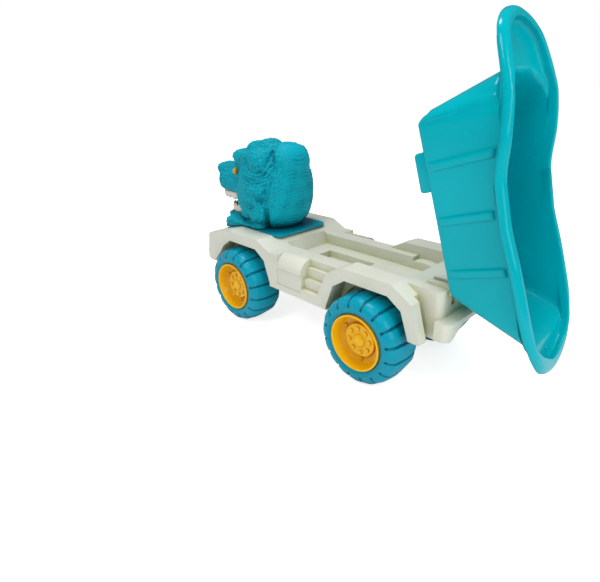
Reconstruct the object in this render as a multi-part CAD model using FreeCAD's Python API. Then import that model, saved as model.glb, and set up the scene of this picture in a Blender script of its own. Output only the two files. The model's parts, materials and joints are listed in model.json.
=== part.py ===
import FreeCAD, Part
import math
import os

from FreeCAD import Vector

# Toy dump truck with a dinosaur head on the bonnet and a tipping bed.
# Millimetres. +X points to the rear, -Y to the truck's left side, +Z up.
# The origin is the middle of the undertray's flat underside, midway between the axles.
# Heights named *_H and the h arguments of the helpers are measured from the ground.

# ---- driving dimensions -------------------------------------------------------------
TRAY_BASE_H = 38.0          # underside of the undertray above the ground
WHEELBASE = 203.0
TYRE_R = 48.0
TYRE_OUT_Y = 82.5           # outer face of the tyres
TYRE_W = 46.0
HUB_R = 30.0
AXLE_R = 2.5
RUNNING_GAP = 0.05          # radial play of a shaft in its hole
WALL = 2.6

BODY_Y = 68.6               # outer face of the fenders
RAIL_Y = 43.6               # inner edge of the fender tops
TROUGH_Y = 32.5             # half width of the deck trough
SKIRT_H = 62.5
FENDER_H = 115.6
DECK_H = 105.5
FLOOR_H = 93.0              # trough floor

FRONT_AXLE_X = -WHEELBASE / 2
REAR_AXLE_X = WHEELBASE / 2
FRONT_ARCH_X = -92.9        # the front arch is set back from its axle
AXLE_H = TYRE_R

TRAY_Y = 33.0
TRAY_X = 126.0
TRAY_TOP_H = SKIRT_H

PIVOT_X = 168.0             # bed hinge
PIVOT_H = 110.0
PIN_R = 2.0
LUG_R = 6.0
TIP_ANGLE = 72.5            # bed shown fully tipped
BED_GAP = 7.0               # hinge centre to the bed's underside
PIVOT_LOCAL_X = -5.4        # hinge centre in the level bed, from the tail corner of its floor
BED_FLOOR_L = 156.0
BED_Y = 43.0                # half width of the bed floor at its tail
BED_FRONT_Y = 47.0          # and at its front
BED_TOP_Y = 44.6
BED_WALL = 2.4
RIM_OUT = 9.2               # overhang of the rolled rim
RIM_DROP = 6.5
RIM_ROLL_R = 5.8
LIP_T = 2.0                 # thickness of the rolled lip
CHANNEL_IN = 4.8            # the hollow under the rolled lip ends this far in from its edge
SHELF_DROP = 10.0           # visor and tail lip below the rim crest

PLATE_TOP_H = 116.6
PLATE_T = 3.0
PLATE_Y = 43.4

HEAD_X = -106.0
HEAD_H = 167.0
HEAD_BASE_H = PLATE_TOP_H

SCREW_R = 1.5
SCREW_HEAD_R = 3.0


# ---- helpers ------------------------------------------------------------------------
def up(h):
    """Height above the ground to the part's own z."""
    return h - TRAY_BASE_H


def box(x0, x1, y0, y1, h0, h1):
    return Part.makeBox(x1 - x0, y1 - y0, h1 - h0, Vector(x0, y0, up(h0)))


def prism_y(profile, y0, y1):
    """Side outline of (x, h) points, extruded across the truck."""
    wire = Part.makePolygon([Vector(x, y0, up(h)) for x, h in profile + profile[:1]])
    return Part.Face(wire).extrude(Vector(0, y1 - y0, 0))


def prism_x(profile, x0, x1):
    """Cross-section of (y, h) points, extruded along the truck."""
    wire = Part.makePolygon([Vector(x0, y, up(h)) for y, h in profile + profile[:1]])
    return Part.Face(wire).extrude(Vector(x1 - x0, 0, 0))


def rod_y(x, h, r, y0, y1):
    return Part.makeCylinder(r, y1 - y0, Vector(x, y0, up(h)), Vector(0, 1, 0))


def rod_z(x, y, r, h0, h1):
    return Part.makeCylinder(r, h1 - h0, Vector(x, y, up(h0)))


def mirrored(shape):
    return shape.mirror(Vector(0, 0, 0), Vector(0, 1, 0))


def join(*shapes):
    """Union with the seams between coplanar faces removed."""
    body = shapes[0]
    for other in shapes[1:]:
        body = body.fuse(other)
    return body.removeSplitter()


def pair(shape):
    """The shape and its mirror image as one tool."""
    return shape.fuse(mirrored(shape))


def ellipsoid(x, y, h, a, b, c):
    scale = FreeCAD.Matrix()
    scale.scale(a, b, c)
    ball = Part.makeSphere(1.0).transformGeometry(scale)
    ball.translate(Vector(x, y, up(h)))
    return ball


def save(name, shape):
    if shape.ShapeType == "Compound" and len(shape.Solids) == 1:
        shape = shape.Solids[0]
    if not shape.isValid():
        raise ValueError(name + " is not a valid shape")
    print(name, len(shape.Solids), "solid(s)", round(shape.Volume / 1000.0, 1), "cm3")
    shape.exportStep("parts/" + name + ".step")


# ---- chassis shell ------------------------------------------------------------------
ARCH_TOP = (26.0, 103.0)    # half width and height of the arch's corners
ARCH_MID = (41.6, 92.8)
ARCH_LOW = (51.0, 66.7)
WELL_Y = 33.6               # inner wall of the wheel wells
WELL_R = TYRE_R + 3.5       # round inner part of the wells
TANK_X = (-27.0, 12.0)
STEP_X = (12.0, 50.0)
STEP_RISE = ((68.6, 74.6), (63.0, 86.0), (57.4, 97.5))
TANK_R = 16.6
RECESS_X = (-18.0, 52.0)    # pocket in the trough floor
RECESS_Y = 13.0
RECESS_H = 85.0
NICHE_X = 90.0              # the trough widens behind this
TROUGH_END_X = 136.0
BLOCK_X = 172.0             # rear hinge block
BLOCK_Y = 49.0
BLOCK_H = 113.0
BUMPER_X = 185.0
BUMPER_Y = 55.0
BUMPER_H = 87.0
BUMPER_LOW_H = 69.0
SLOT_Y = (24.0, 31.0)       # slots that take the bed's hinge lugs
PIN_REACH = 43.0            # the hinge pin's ends, inside the block


def body_blank():
    """Full-width block with the truck's side outline."""
    side = [(-158, 65.6), (-169, 66.5), (-172, 69.5), (-172, 81.0), (-170.4, 83.0), (-166.5, 103.5),
            (-163, 106.0), (-122, FENDER_H), (-63.5, FENDER_H), (-41.5, DECK_H),
            (52, DECK_H), (57, 109.0), (72, FENDER_H), (131, FENDER_H), (153.6, 102), (164.7, 65.5),
            (150, 65.5), (148, SKIRT_H), (-150, SKIRT_H)]
    return prism_y(side, -BODY_Y, BODY_Y)


def wheel_wells():
    """Polygonal arches, cut from the outside in to the well's inner wall."""
    rear = []
    for sign in (-1, 1):
        corners = [(REAR_AXLE_X + sign * ARCH_LOW[0], ARCH_LOW[1] - 8),
                   (REAR_AXLE_X + sign * ARCH_LOW[0], ARCH_LOW[1]),
                   (REAR_AXLE_X + sign * ARCH_MID[0], ARCH_MID[1]),
                   (REAR_AXLE_X + sign * ARCH_TOP[0], ARCH_TOP[1])]
        rear += corners if sign < 0 else corners[::-1]
    front = [(-166, 58), (-157, 66.6), (-145.4, 79.6), (-141.3, 83.4), (-134.5, 92.8),
             (FRONT_ARCH_X - ARCH_TOP[0], ARCH_TOP[1]), (FRONT_ARCH_X + ARCH_TOP[0], ARCH_TOP[1]),
             (FRONT_ARCH_X + ARCH_MID[0], ARCH_MID[1]), (FRONT_ARCH_X + ARCH_LOW[0], ARCH_LOW[1]),
             (FRONT_ARCH_X + ARCH_LOW[0], 58)]
    arches = [prism_y(outline, RAIL_Y + WALL, BODY_Y + 1) for outline in (front, rear)]
    drums = [rod_y(x, AXLE_H, WELL_R, WELL_Y, RAIL_Y + WALL + 1) for x in (FRONT_AXLE_X, REAR_AXLE_X)]
    return pair(join(*arches, *drums))


def deck_cuts():
    """Trough between the fenders, its pocket, and the lower deck beside it."""
    trough = prism_y([(-51, 120), (-51, FENDER_H), (-41, FLOOR_H), (TROUGH_END_X, FLOOR_H),
                      (TROUGH_END_X, 120)], -TROUGH_Y, TROUGH_Y)
    ledge = prism_y([(-51, 120), (-51, FENDER_H), (-41.5, DECK_H), (TROUGH_END_X, DECK_H),
                     (TROUGH_END_X, 120)], -RAIL_Y, RAIL_Y)
    niche = box(NICHE_X, TROUGH_END_X, -RAIL_Y, RAIL_Y, FLOOR_H + 2.0, 120)
    pocket = box(RECESS_X[0], RECESS_X[1], -RECESS_Y, RECESS_Y, RECESS_H, FLOOR_H + 1)
    return join(trough, ledge, niche, pocket)


def wheel_humps():
    """Rounded tops of the rear wheel wells, standing in the trough."""
    hump = rod_y(REAR_AXLE_X, AXLE_H, WELL_R + WALL, WELL_Y - WALL, RAIL_Y + 1)
    hump = hump.common(box(NICHE_X - 45, TROUGH_END_X + 5, WELL_Y - WALL, RAIL_Y + 1, 88, 112))
    return pair(hump)


def side_cut():
    """Room for the tank and the steps between the fenders."""
    inner = STEP_RISE[2][0] - 5.6
    return pair(prism_y([(TANK_X[0], 70), (38, 70), (38, 76), (44, 90), (51, 104), (57, 109), (66, 120),
                         (TANK_X[0], 120)], inner, BODY_Y + 1))


def tank():
    """Quarter-round fuel tank with a filler dimple."""
    centre_y = BODY_Y - TANK_R
    length = TANK_X[1] - TANK_X[0]
    barrel = Part.makeCylinder(TANK_R, length, Vector(TANK_X[0], centre_y, up(90.0)), Vector(1, 0, 0))
    barrel = barrel.common(box(TANK_X[0], TANK_X[1], centre_y - 1, BODY_Y, 89.5, 110))
    skirt = box(TANK_X[0], TANK_X[1], centre_y - 1, BODY_Y - 0.8, 69, 91)
    filler = Part.makeCylinder(3.2, 3.0, Vector(-8.0, 62.5, up(103.0)), Vector(0, 0.55, 0.83))
    return join(barrel, skirt).cut(filler)


def steps():
    """Three boarding steps, widest at the bottom."""
    profile = [(STEP_RISE[2][0] - 6.6, 69)]
    for index, (y, h) in enumerate(STEP_RISE):
        profile += [(y, profile[-1][1]), (y, h)]
    profile.append((STEP_RISE[2][0] - 6.6, STEP_RISE[2][1]))
    return prism_x(profile, STEP_X[0], STEP_X[1])


def hinge_block():
    """Rear block with rounded corners that carries the bed hinge."""
    block = box(TROUGH_END_X - 6, BLOCK_X, -BLOCK_Y, BLOCK_Y, SKIRT_H + 3, BLOCK_H)
    rear = [e for e in block.Edges if abs(e.BoundBox.XLength) < 0.1 and abs(e.BoundBox.YLength) < 0.1
            and e.BoundBox.XMin > BLOCK_X - 1]
    block = block.makeFillet(6.0, rear)
    bumper = box(TROUGH_END_X, BUMPER_X, -BUMPER_Y, BUMPER_Y, BUMPER_LOW_H, BUMPER_H)
    rear = [e for e in bumper.Edges if abs(e.BoundBox.XLength) < 0.1 and abs(e.BoundBox.YLength) < 0.1
            and e.BoundBox.XMin > BUMPER_X - 1]
    bumper = bumper.makeFillet(9.0, rear)
    rise = prism_x([(-26, 84), (26, 84), (50, 69), (50, 60), (-50, 60), (-50, 69)], 170, 190)
    ears = rod_y(PIVOT_X, PIVOT_H, LUG_R, SLOT_Y[0] - 6, SLOT_Y[1] + 6)
    ears = ears.fuse(box(148, PIVOT_X, SLOT_Y[0] - 6, SLOT_Y[1] + 6, 108, PIVOT_H + LUG_R))
    return join(block, bumper.cut(rise), pair(ears))


def hinge_slots():
    """Slots for the bed's lugs and the bore for the hinge pin."""
    slot = box(146, BUMPER_X + 5, SLOT_Y[0], SLOT_Y[1], PIVOT_H - 14, 125)
    behind = box(PIVOT_X + LUG_R + 1.0, BUMPER_X + 5, -BLOCK_Y - 1, BLOCK_Y + 1, BUMPER_H, 125)
    bore = rod_y(PIVOT_X, PIVOT_H, PIN_R + RUNNING_GAP, -PIN_REACH - 0.3, PIN_REACH + 0.3)
    return join(pair(slot), bore), behind


def chassis_cavity():
    """Inside of the moulding, open at the bottom."""
    spine = box(-148, 137, -(WELL_Y - WALL), WELL_Y - WALL, SKIRT_H - 5, RECESS_H - WALL)
    under_plate = box(-150, -58, -(WELL_Y - WALL), WELL_Y - WALL, 60, 108)
    middle = box(-39, 47.5, -(BODY_Y - WALL - 2.8), BODY_Y - WALL - 2.8, 60, 72)
    side_room = box(-39, 47.5, -(STEP_RISE[2][0] - 8), STEP_RISE[2][0] - 8, 60, RECESS_H - WALL)
    side = BODY_Y - WALL
    nose = prism_y([(-169, 60), (-169, 82), (-163.5, 100.5), (-124, 109.5), (-122, 106.5), (-138, 95),
                    (-149, 82.5), (-161, 69), (-161, 60)], -side, side)
    return join(spine, under_plate, middle, side_room).fuse(nose).fuse(rear_cavity())


def rear_cavity():
    """Rooms in the hinge block, between the walls that hold the pin."""
    inner = SLOT_Y[0] - WALL
    outer = SLOT_Y[1] + WALL
    low, high = 60, PIVOT_H - LUG_R
    centre = box(TROUGH_END_X + 3, BLOCK_X - 3, -inner, inner, low, high)
    side = box(TROUGH_END_X + 3, BLOCK_X - 6, outer, BLOCK_Y - WALL, low, high)
    under_slot = box(TROUGH_END_X + 3, BLOCK_X - 3, inner, outer, low, PIVOT_H - 14 - WALL)
    return join(centre, pair(join(side, under_slot)))


def fender_hollows():
    """Room above the wheels, behind the arch faces."""
    inner, outer = RAIL_Y + WALL, BODY_Y - WALL
    rear = prism_y([(68, 100), (76, 112.8), (129, 112.8), (146, 101.5), (150, 88), (143, 88),
                    (127.5, 100)], inner, outer)
    front = prism_y([(-127, 100), (-121, 112.8), (-66, 112.8), (-57, 106), (-58, 100)], inner, outer)
    return pair(rear.fuse(front))


def screw_points():
    """Where the undertray is screwed to the chassis."""
    return [(x, y) for x in (-115.0, -40.0, 40.0, 115.0) for y in (-20.0, 20.0)]


def screw_bosses():
    bosses = []
    holes = []
    for x, y in screw_points():
        top = 110.0 if x < -58 else RECESS_H - 1
        bosses.append(rod_z(x, y, 4.5, TRAY_TOP_H, top))
        holes.append(rod_z(x, y, SCREW_R + RUNNING_GAP, TRAY_TOP_H - 1, TRAY_TOP_H + 12))
    return bosses, holes


def chassis_shell():
    body = body_blank()
    body = body.cut(side_cut())
    body = join(body, pair(tank()), pair(steps()))
    body = body.cut(deck_cuts())
    lug_cuts, behind = hinge_slots()
    body = join(body, wheel_humps(), hinge_block().cut(behind))
    inboard = box(148, 170, BLOCK_Y, BODY_Y - 12.6, 60, 120)
    body = body.cut(pair(inboard))
    body = body.cut(wheel_wells())
    body = body.cut(fender_hollows())
    body = body.cut(chassis_cavity())
    bosses, holes = screw_bosses()
    for boss in bosses:
        body = body.fuse(boss)
    for hole in holes:
        body = body.cut(hole)
    body = body.cut(lug_cuts)
    body = body.cut(plate_solid(0.15))
    for x, y in head_screw_points():
        body = body.cut(rod_z(x, y, SCREW_HEAD_R + 0.5, 90, FENDER_H))
    return body.removeSplitter()


# ---- head plate ---------------------------------------------------------------------
PLATE_X = (-159.0, -122.0, -53.0)   # front tip, bend, rear edge
PLATE_TIP_H = 108.0
PLATE_CORNER_R = 9.0


def plate_solid(grow):
    """Teal plate that carries the head: a flat top and a flap down the nose."""
    tip, bend, rear = PLATE_X
    side = [(tip - grow, PLATE_TIP_H), (bend, PLATE_TOP_H), (rear + grow, PLATE_TOP_H),
            (rear + grow, PLATE_TOP_H - PLATE_T - grow), (bend, PLATE_TOP_H - PLATE_T - grow),
            (tip - grow, PLATE_TIP_H - PLATE_T - grow)]
    half = PLATE_Y + grow
    solid = prism_y(side, -half, half)
    corners = [e for e in solid.Edges if e.BoundBox.XMin > rear - 1 and e.BoundBox.ZLength > PLATE_T - 1]
    return solid.makeFillet(PLATE_CORNER_R, corners)


def head_screw_points():
    """One screw behind the plate's bend and two further back."""
    return [(HEAD_X - 11.0, 0.0), (HEAD_X + 16.0, -14.0), (HEAD_X + 16.0, 14.0)]


def head_plate():
    plate = plate_solid(0.0)
    for x, y in head_screw_points():
        plate = plate.cut(rod_z(x, y, SCREW_R + RUNNING_GAP, 100, 130))
    return plate


# ---- undertray and axles ------------------------------------------------------------
def undertray():
    """Shallow hull with a flat underside, axle bores and screw posts."""
    low, top = TRAY_BASE_H, TRAY_TOP_H
    side = [(-TRAY_X + 18, low), (-TRAY_X, low + 14), (-TRAY_X, top), (TRAY_X, top),
            (TRAY_X, low + 14), (TRAY_X - 18, low)]
    hull = prism_y(side, -TRAY_Y, TRAY_Y)
    room = [(-TRAY_X + 20, low + WALL), (-TRAY_X + WALL, low + 15), (-TRAY_X + WALL, top + 1),
            (TRAY_X - WALL, top + 1), (TRAY_X - WALL, low + 15), (TRAY_X - 20, low + WALL)]
    hull = hull.cut(prism_y(room, -TRAY_Y + WALL, TRAY_Y - WALL))
    for x in (FRONT_AXLE_X, REAR_AXLE_X):
        for y0, y1 in ((-TRAY_Y + WALL, -TRAY_Y + WALL + 6), (-2, 2), (TRAY_Y - WALL - 6, TRAY_Y - WALL)):
            hull = hull.fuse(box(x - 7, x + 7, y0, y1, low + 1, AXLE_H + 7))
        hull = hull.cut(rod_y(x, AXLE_H, AXLE_R + RUNNING_GAP, -TRAY_Y - 1, TRAY_Y + 1))
    for x, y in screw_points():
        hull = hull.fuse(rod_z(x, y, 5.0, low + 1, top))
        hull = hull.cut(rod_z(x, y, SCREW_R + RUNNING_GAP, low - 1, top + 1))
        hull = hull.cut(rod_z(x, y, SCREW_HEAD_R + 0.3, low - 1, low + 6))
    return hull.removeSplitter()


def undertray_screws():
    """Eight pan-head screws up through the undertray."""
    seat = TRAY_BASE_H + 6.0
    screws = []
    for x, y in screw_points():
        shank = rod_z(x, y, SCREW_R, seat, TRAY_TOP_H + 10)
        screws.append(shank.fuse(rod_z(x, y, SCREW_HEAD_R, seat - 2, seat)).removeSplitter())
    return Part.makeCompound(screws)


def axle(x):
    reach = TYRE_OUT_Y - 9.0
    return rod_y(x, AXLE_H, AXLE_R, -reach, reach)


def washers(x):
    """One washer between each hub and the undertray."""
    rings = []
    inner = TYRE_OUT_Y - TYRE_W - 1.0
    for y in (-inner, inner - 1.2):
        ring = rod_y(x, AXLE_H, 7.0, y, y + 1.2).cut(rod_y(x, AXLE_H, AXLE_R, y - 1, y + 3))
        rings.append(ring)
    return Part.makeCompound(rings)


# ---- wheels -------------------------------------------------------------------------
SHOULDER_R = 10.0
TREAD_CROWN = 1.2           # the tread is this much higher in the middle
BEAD_SET = 1.5              # the tyre is set back this much where it meets the hub
GROOVES = 16
GROOVE_W = 2.6
GROOVE_DEPTH = 2.2
STUDS = 8
STUD_RING_R = 12.8
TYRE_IN_Y = TYRE_OUT_Y - TYRE_W


def revolved(profile, x):
    """Profile of (radius, y) points turned about a wheel's axis."""
    points = [Vector(x, y, up(AXLE_H) + r) for r, y in profile]
    face = Part.Face(Part.makePolygon(points + points[:1]))
    return face.revolve(Vector(x, 0, up(AXLE_H)), Vector(0, 1, 0), 360)


def tyre_section(x):
    """Half section of the tyre with rounded shoulders and a crowned tread."""
    z = up(AXLE_H)

    def at(r, y):
        return Vector(x, y, z + r)

    out, inn = TYRE_OUT_Y, TYRE_IN_Y
    mid = (out + inn) / 2
    edge = TYRE_R - TREAD_CROWN
    wall_top = edge - SHOULDER_R
    drop = SHOULDER_R * (1 - math.sqrt(0.5))
    out_shoulder = Part.Arc(at(wall_top, out), at(edge - drop, out - drop), at(edge, out - SHOULDER_R))
    tread = Part.Arc(at(edge, out - SHOULDER_R), at(TYRE_R, mid), at(edge, inn + SHOULDER_R))
    inn_shoulder = Part.Arc(at(edge, inn + SHOULDER_R), at(edge - drop, inn + drop), at(wall_top, inn))
    bead = [at(wall_top, inn), at(HUB_R, inn), at(HUB_R, out - BEAD_SET), at(HUB_R + 6, out),
            at(wall_top, out)]
    lines = [Part.makeLine(a, b) for a, b in zip(bead, bead[1:])]
    return Part.Face(Part.Wire(lines + [out_shoulder.toShape(), tread.toShape(), inn_shoulder.toShape()]))


def tread_groove(x, turn):
    """Bar that is cut straight across the tread."""
    floor_z = up(AXLE_H) + TYRE_R - GROOVE_DEPTH
    corner = Vector(x - GROOVE_W / 2, TYRE_IN_Y - 1, floor_z)
    bar = Part.makeBox(GROOVE_W, TYRE_W + 2, 2 * GROOVE_DEPTH, corner)
    bar.rotate(Vector(x, 0, up(AXLE_H)), Vector(0, 1, 0), turn)
    return bar


def tyre(x):
    body = tyre_section(x).revolve(Vector(x, 0, up(AXLE_H)), Vector(0, 1, 0), 360)
    step = 360.0 / GROOVES
    return body.cut(Part.makeCompound([tread_groove(x, index * step) for index in range(GROOVES)]))


def hub(x):
    """Dished hub with a rim lip, a raised centre disc and wheel studs."""
    out = TYRE_OUT_Y
    inn = TYRE_IN_Y
    profile = [(AXLE_R, inn + 0.5), (9.0, inn + 0.5), (9.0, out - 16.0), (HUB_R - 4.6, out - 16.0),
               (HUB_R - 2.6, inn + 1.0), (HUB_R, inn + 1.0), (HUB_R, out + 0.8), (HUB_R - 1.8, out + 0.8),
               (HUB_R - 6.0, out - 10.5), (18.5, out - 12.0), (17.0, out - 8.5), (AXLE_R, out - 8.5)]
    disc = revolved(profile, x)
    for index in range(STUDS):
        angle = 2 * math.pi * index / STUDS
        dx = STUD_RING_R * math.cos(angle)
        dz = STUD_RING_R * math.sin(angle)
        stud = Part.makeCylinder(2.1, 4.0, Vector(x + dx, out - 10.5, up(AXLE_H) + dz), Vector(0, 1, 0))
        disc = disc.fuse(stud)
    return disc.removeSplitter()


def axle_cap(x):
    """Domed cap pressed over the axle's end."""
    out = TYRE_OUT_Y - 8.5
    dome = Part.makeSphere(7.5, Vector(x, out - 3.0, up(AXLE_H)))
    dome = dome.common(rod_y(x, AXLE_H, 7.0, out, out + 6))
    return dome


# ---- bed ----------------------------------------------------------------------------
# The bed is drawn level: u runs forward from the tail corner of its floor, w upward.
RIM_PLAN = [(-79.0, 0.0), (-75.0, 16.5), (-64.0, 30.0), (-47.0, 41.5), (-24.0, 49.5), (10.0, 50.7),
            (60.0, 50.7), (120.0, 50.7), (150.0, 47.0), (176.0, 43.0), (196.0, 37.2), (207.5, 26.5),
            (214.0, 13.5), (216.5, 0.0)]
RIM_WAVE = [(-90.0, 58.0), (-60.0, 64.0), (-25.0, 65.5), (20.0, 64.5), (70.0, 62.0), (95.0, 64.0),
            (125.0, 72.5), (150.0, 77.0), (190.0, 75.5), (225.0, 71.0)]
FOOT_DEPTH = 11.0
WEB_REACH = 10.0            # the lugs' webs run this far forward of their eyes
RIBS_U = (23.0, 69.0, 115.0)
RIB_W = 6.5
RIB_RISE = 1.0
TUB_TOP_DROP = 3.0          # the tub's walls end inside the rolled rim, this far below its crest
FLOOR_R = 12.0


def bed_point(u, y, w):
    return Vector(-u, y, w)


def closed_plan(points, inset):
    """Closed smooth outline from a half outline, moved inwards by inset."""
    half = []
    count = len(points)
    for i, (u, y) in enumerate(points):
        u0, y0 = points[max(i - 1, 0)]
        u1, y1 = points[min(i + 1, count - 1)]
        if i == 0:
            u0, y0 = u1, -y1
        if i == count - 1:
            u1, y1 = u0, -y0
        du, dy = u1 - u0, y1 - y0
        length = math.hypot(du, dy)
        half.append((u + inset * dy / length, y - inset * du / length))
    loop = half + [(u, -y) for u, y in half[-2:0:-1]]
    curve = Part.BSplineCurve()
    curve.interpolate([bed_point(u, y, 0) for u, y in loop], True)
    return Part.Face(Part.Wire(curve.toShape()))


def column(face, w0, w1):
    face = face.copy()
    face.translate(Vector(0, 0, w0))
    return face.extrude(Vector(0, 0, w1 - w0))


def under_wave(drop, low):
    """Everything below the rim's wavy line, lowered by drop, down to low."""
    curve = Part.BSplineCurve()
    curve.interpolate([Vector(-u, -80, w - drop) for u, w in RIM_WAVE])
    first, last = RIM_WAVE[0], RIM_WAVE[-1]
    a = Vector(-first[0], -80, first[1] - drop)
    b = Vector(-last[0], -80, last[1] - drop)
    a0 = Vector(a.x, -80, low)
    b0 = Vector(b.x, -80, low)
    sides = [Part.makeLine(b, b0), Part.makeLine(b0, a0), Part.makeLine(a0, a)]
    return Part.Face(Part.Wire([curve.toShape()] + sides)).extrude(Vector(0, 160, 0))


def rounded_plan(u0, u1, half, front_half, radius, w):
    """Horizontal outline with rounded corners at height w, as wide as front_half at u1."""
    pts = [(u0, -half), (u1, -front_half), (u1, front_half), (u0, half)]
    wire = Part.makePolygon([bed_point(u, y, w) for u, y in pts + pts[:1]])
    face = Part.Face(wire)
    solid = face.extrude(Vector(0, 0, 1))
    solid = solid.makeFillet(radius, [e for e in solid.Edges if e.BoundBox.ZLength > 0.9])
    bottom = [f for f in solid.Faces if f.BoundBox.ZLength < 0.01 and abs(f.BoundBox.ZMin - w) < 0.01]
    return bottom[0].OuterWire


def basin(inset, low):
    """Main tub: vertical-ish walls, a leaning front and a long tail ramp."""
    floor = rounded_plan(-2.0 + inset, BED_FLOOR_L - inset, BED_Y - inset, BED_FRONT_Y - inset,
                         FLOOR_R - inset, low)
    top = rounded_plan(-66.0 + inset, 176.0 - inset, BED_TOP_Y - inset, BED_TOP_Y - inset,
                       22.0 - inset, 82.0)
    return Part.makeLoft([floor, top], True, True)


def side_ribs():
    """Three raised bands up each side wall."""
    bands = []
    for u in RIBS_U:
        bands.append(Part.makeBox(RIB_W, 120.0, 80.0, Vector(-u - RIB_W / 2, -60.0, 3.0)))
    return [band.common(under_wave(RIM_DROP, 0)).common(basin(-RIB_RISE, 0.5)) for band in bands]


def hinge_lugs():
    """Two eyes under the floor's tail end that sit in the chassis slots."""
    lug_w = SLOT_Y[1] - SLOT_Y[0] - 1.0
    y0 = SLOT_Y[0] + 0.5
    eye = Part.makeCylinder(LUG_R, lug_w, Vector(PIVOT_LOCAL_X, y0, -BED_GAP), Vector(0, 1, 0))
    corner = Vector(PIVOT_LOCAL_X - LUG_R - WEB_REACH, y0, -BED_GAP)
    web = Part.makeBox(LUG_R * 2 + WEB_REACH, lug_w, BED_GAP + 1.0, corner)
    start = Vector(PIVOT_LOCAL_X, -60, -BED_GAP)
    bore = Part.makeCylinder(PIN_R + RUNNING_GAP, 120, start, Vector(0, 1, 0))
    return join(pair(eye.fuse(web))).cut(bore)


def rest_foot():
    """Foot under the floor that drops beside the trough when the bed is down."""
    foot = Part.makeBox(34, 9, FOOT_DEPTH + 1.0, Vector(-129, RAIL_Y - 9.4, -FOOT_DEPTH))
    return foot.makeFillet(3.5, [e for e in foot.Edges if e.BoundBox.ZMax < -FOOT_DEPTH + 0.1])


def rolled(block):
    """Round the rim's upper outer edge."""
    crest = max(block.Edges, key=lambda e: (e.BoundBox.ZMax, e.Length))
    return block.makeFillet(RIM_ROLL_R, [crest])


def bed_level():
    rim_face = closed_plan(RIM_PLAN, 0.0)
    block = column(rim_face, 20, 90).common(under_wave(0.0, 10)).cut(under_wave(RIM_DROP, 0))
    block = rolled(block)
    tub = basin(0.0, 0.0).common(under_wave(TUB_TOP_DROP, -5))
    shelf = column(closed_plan(RIM_PLAN, 2.0), 20, 90).common(under_wave(SHELF_DROP - BED_WALL, 10))
    shelf = shelf.cut(under_wave(SHELF_DROP, 0))
    outer = tub.fuse(block).fuse(shelf)
    for rib in side_ribs():
        outer = outer.fuse(rib)
    inside_rim = column(closed_plan(RIM_PLAN, RIM_OUT), 20, 100).cut(under_wave(SHELF_DROP - BED_WALL, 0))
    inside_tub = basin(BED_WALL, BED_WALL)
    channel = column(closed_plan(RIM_PLAN, LIP_T), 20, 90)
    channel = channel.cut(column(closed_plan(RIM_PLAN, CHANNEL_IN), 10, 100))
    channel = channel.common(under_wave(LIP_T, 0)).cut(basin(-0.6, -1.0))
    shell = outer.cut(channel).cut(inside_rim).cut(inside_tub)
    return join(shell, hinge_lugs(), pair(rest_foot()))


def bed():
    """The bed turned up about its hinge to the tipped position."""
    shape = bed_level()
    shape.translate(Vector(PIVOT_X - PIVOT_LOCAL_X, 0, up(PIVOT_H) + BED_GAP))
    shape.rotate(Vector(PIVOT_X, 0, up(PIVOT_H)), Vector(0, 1, 0), TIP_ANGLE)
    return shape


def hinge_pin():
    return rod_y(PIVOT_X, PIVOT_H, PIN_R, -PIN_REACH, PIN_REACH)


# ---- head ---------------------------------------------------------------------------
EYE = (-151.0, 27.5, 183.0)
EYE_R = 5.0
MOUTH = [(-225, 153), (-150, 143), (-147, 138), (-225, 123)]    # gap between the jaws
LINING_FRONT_X = -172.0
TOOTH_R = 3.2
TOOTH_L = 9.0
TEETH = 7


def head_outer():
    """Round skull, brow, snout and jaw as one soft form."""
    form = ellipsoid(HEAD_X, 0, HEAD_H, 56, 47, 55)
    crest = ellipsoid(HEAD_X - 2, 0, 212, 26, 22, 15)
    brow = ellipsoid(-152, 0, 193, 26, 32, 17)
    snout = ellipsoid(-169, 0, 164, 44, 26, 19)
    nose = ellipsoid(-198, 0, 179, 19, 19, 9.5)
    jaw = ellipsoid(-162, 0, 122, 34, 24, 13)
    cheek = ellipsoid(-122, 0, 158, 30, 46, 26)
    for extra in (crest, brow, snout, nose, jaw, cheek):
        form = form.fuse(extra)
    return form.cut(box(-230, 0, -80, 80, 60, HEAD_BASE_H))


def mouth_lining():
    """Dark inside of the mouth, set back behind the teeth."""
    gap = prism_y(MOUTH, -60, 60)
    back = ellipsoid(-150, 0, 140, -LINING_FRONT_X - 150, 20, 30)
    return gap.common(back).cut(lower_teeth())


def tooth_row(root_h, tip_h, x_front, half_width):
    """Blunt teeth around the front of one jaw."""
    depth = 26.0
    row = []
    for index in range(TEETH):
        turn = math.radians(-72.0 + 144.0 * index / (TEETH - 1))
        x = x_front + depth * (1 - math.cos(turn))
        y = half_width * math.sin(turn)
        low, high = min(root_h, tip_h), max(root_h, tip_h)
        wide_end_low = root_h < tip_h
        r_low, r_high = (TOOTH_R, TOOTH_R * 0.5) if wide_end_low else (TOOTH_R * 0.5, TOOTH_R)
        row.append(Part.makeCone(r_low, r_high, high - low, Vector(x, y, up(low))))
    return Part.makeCompound(row)


def upper_teeth():
    return tooth_row(152.5, 152.5 - TOOTH_L, -192.0, 19.0)


def lower_teeth():
    return tooth_row(129.5, 129.5 + TOOTH_L, -180.0, 17.0)


def eye(side):
    x, y, h = EYE
    return ellipsoid(x, side * y, h, EYE_R, EYE_R, EYE_R)


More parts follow.
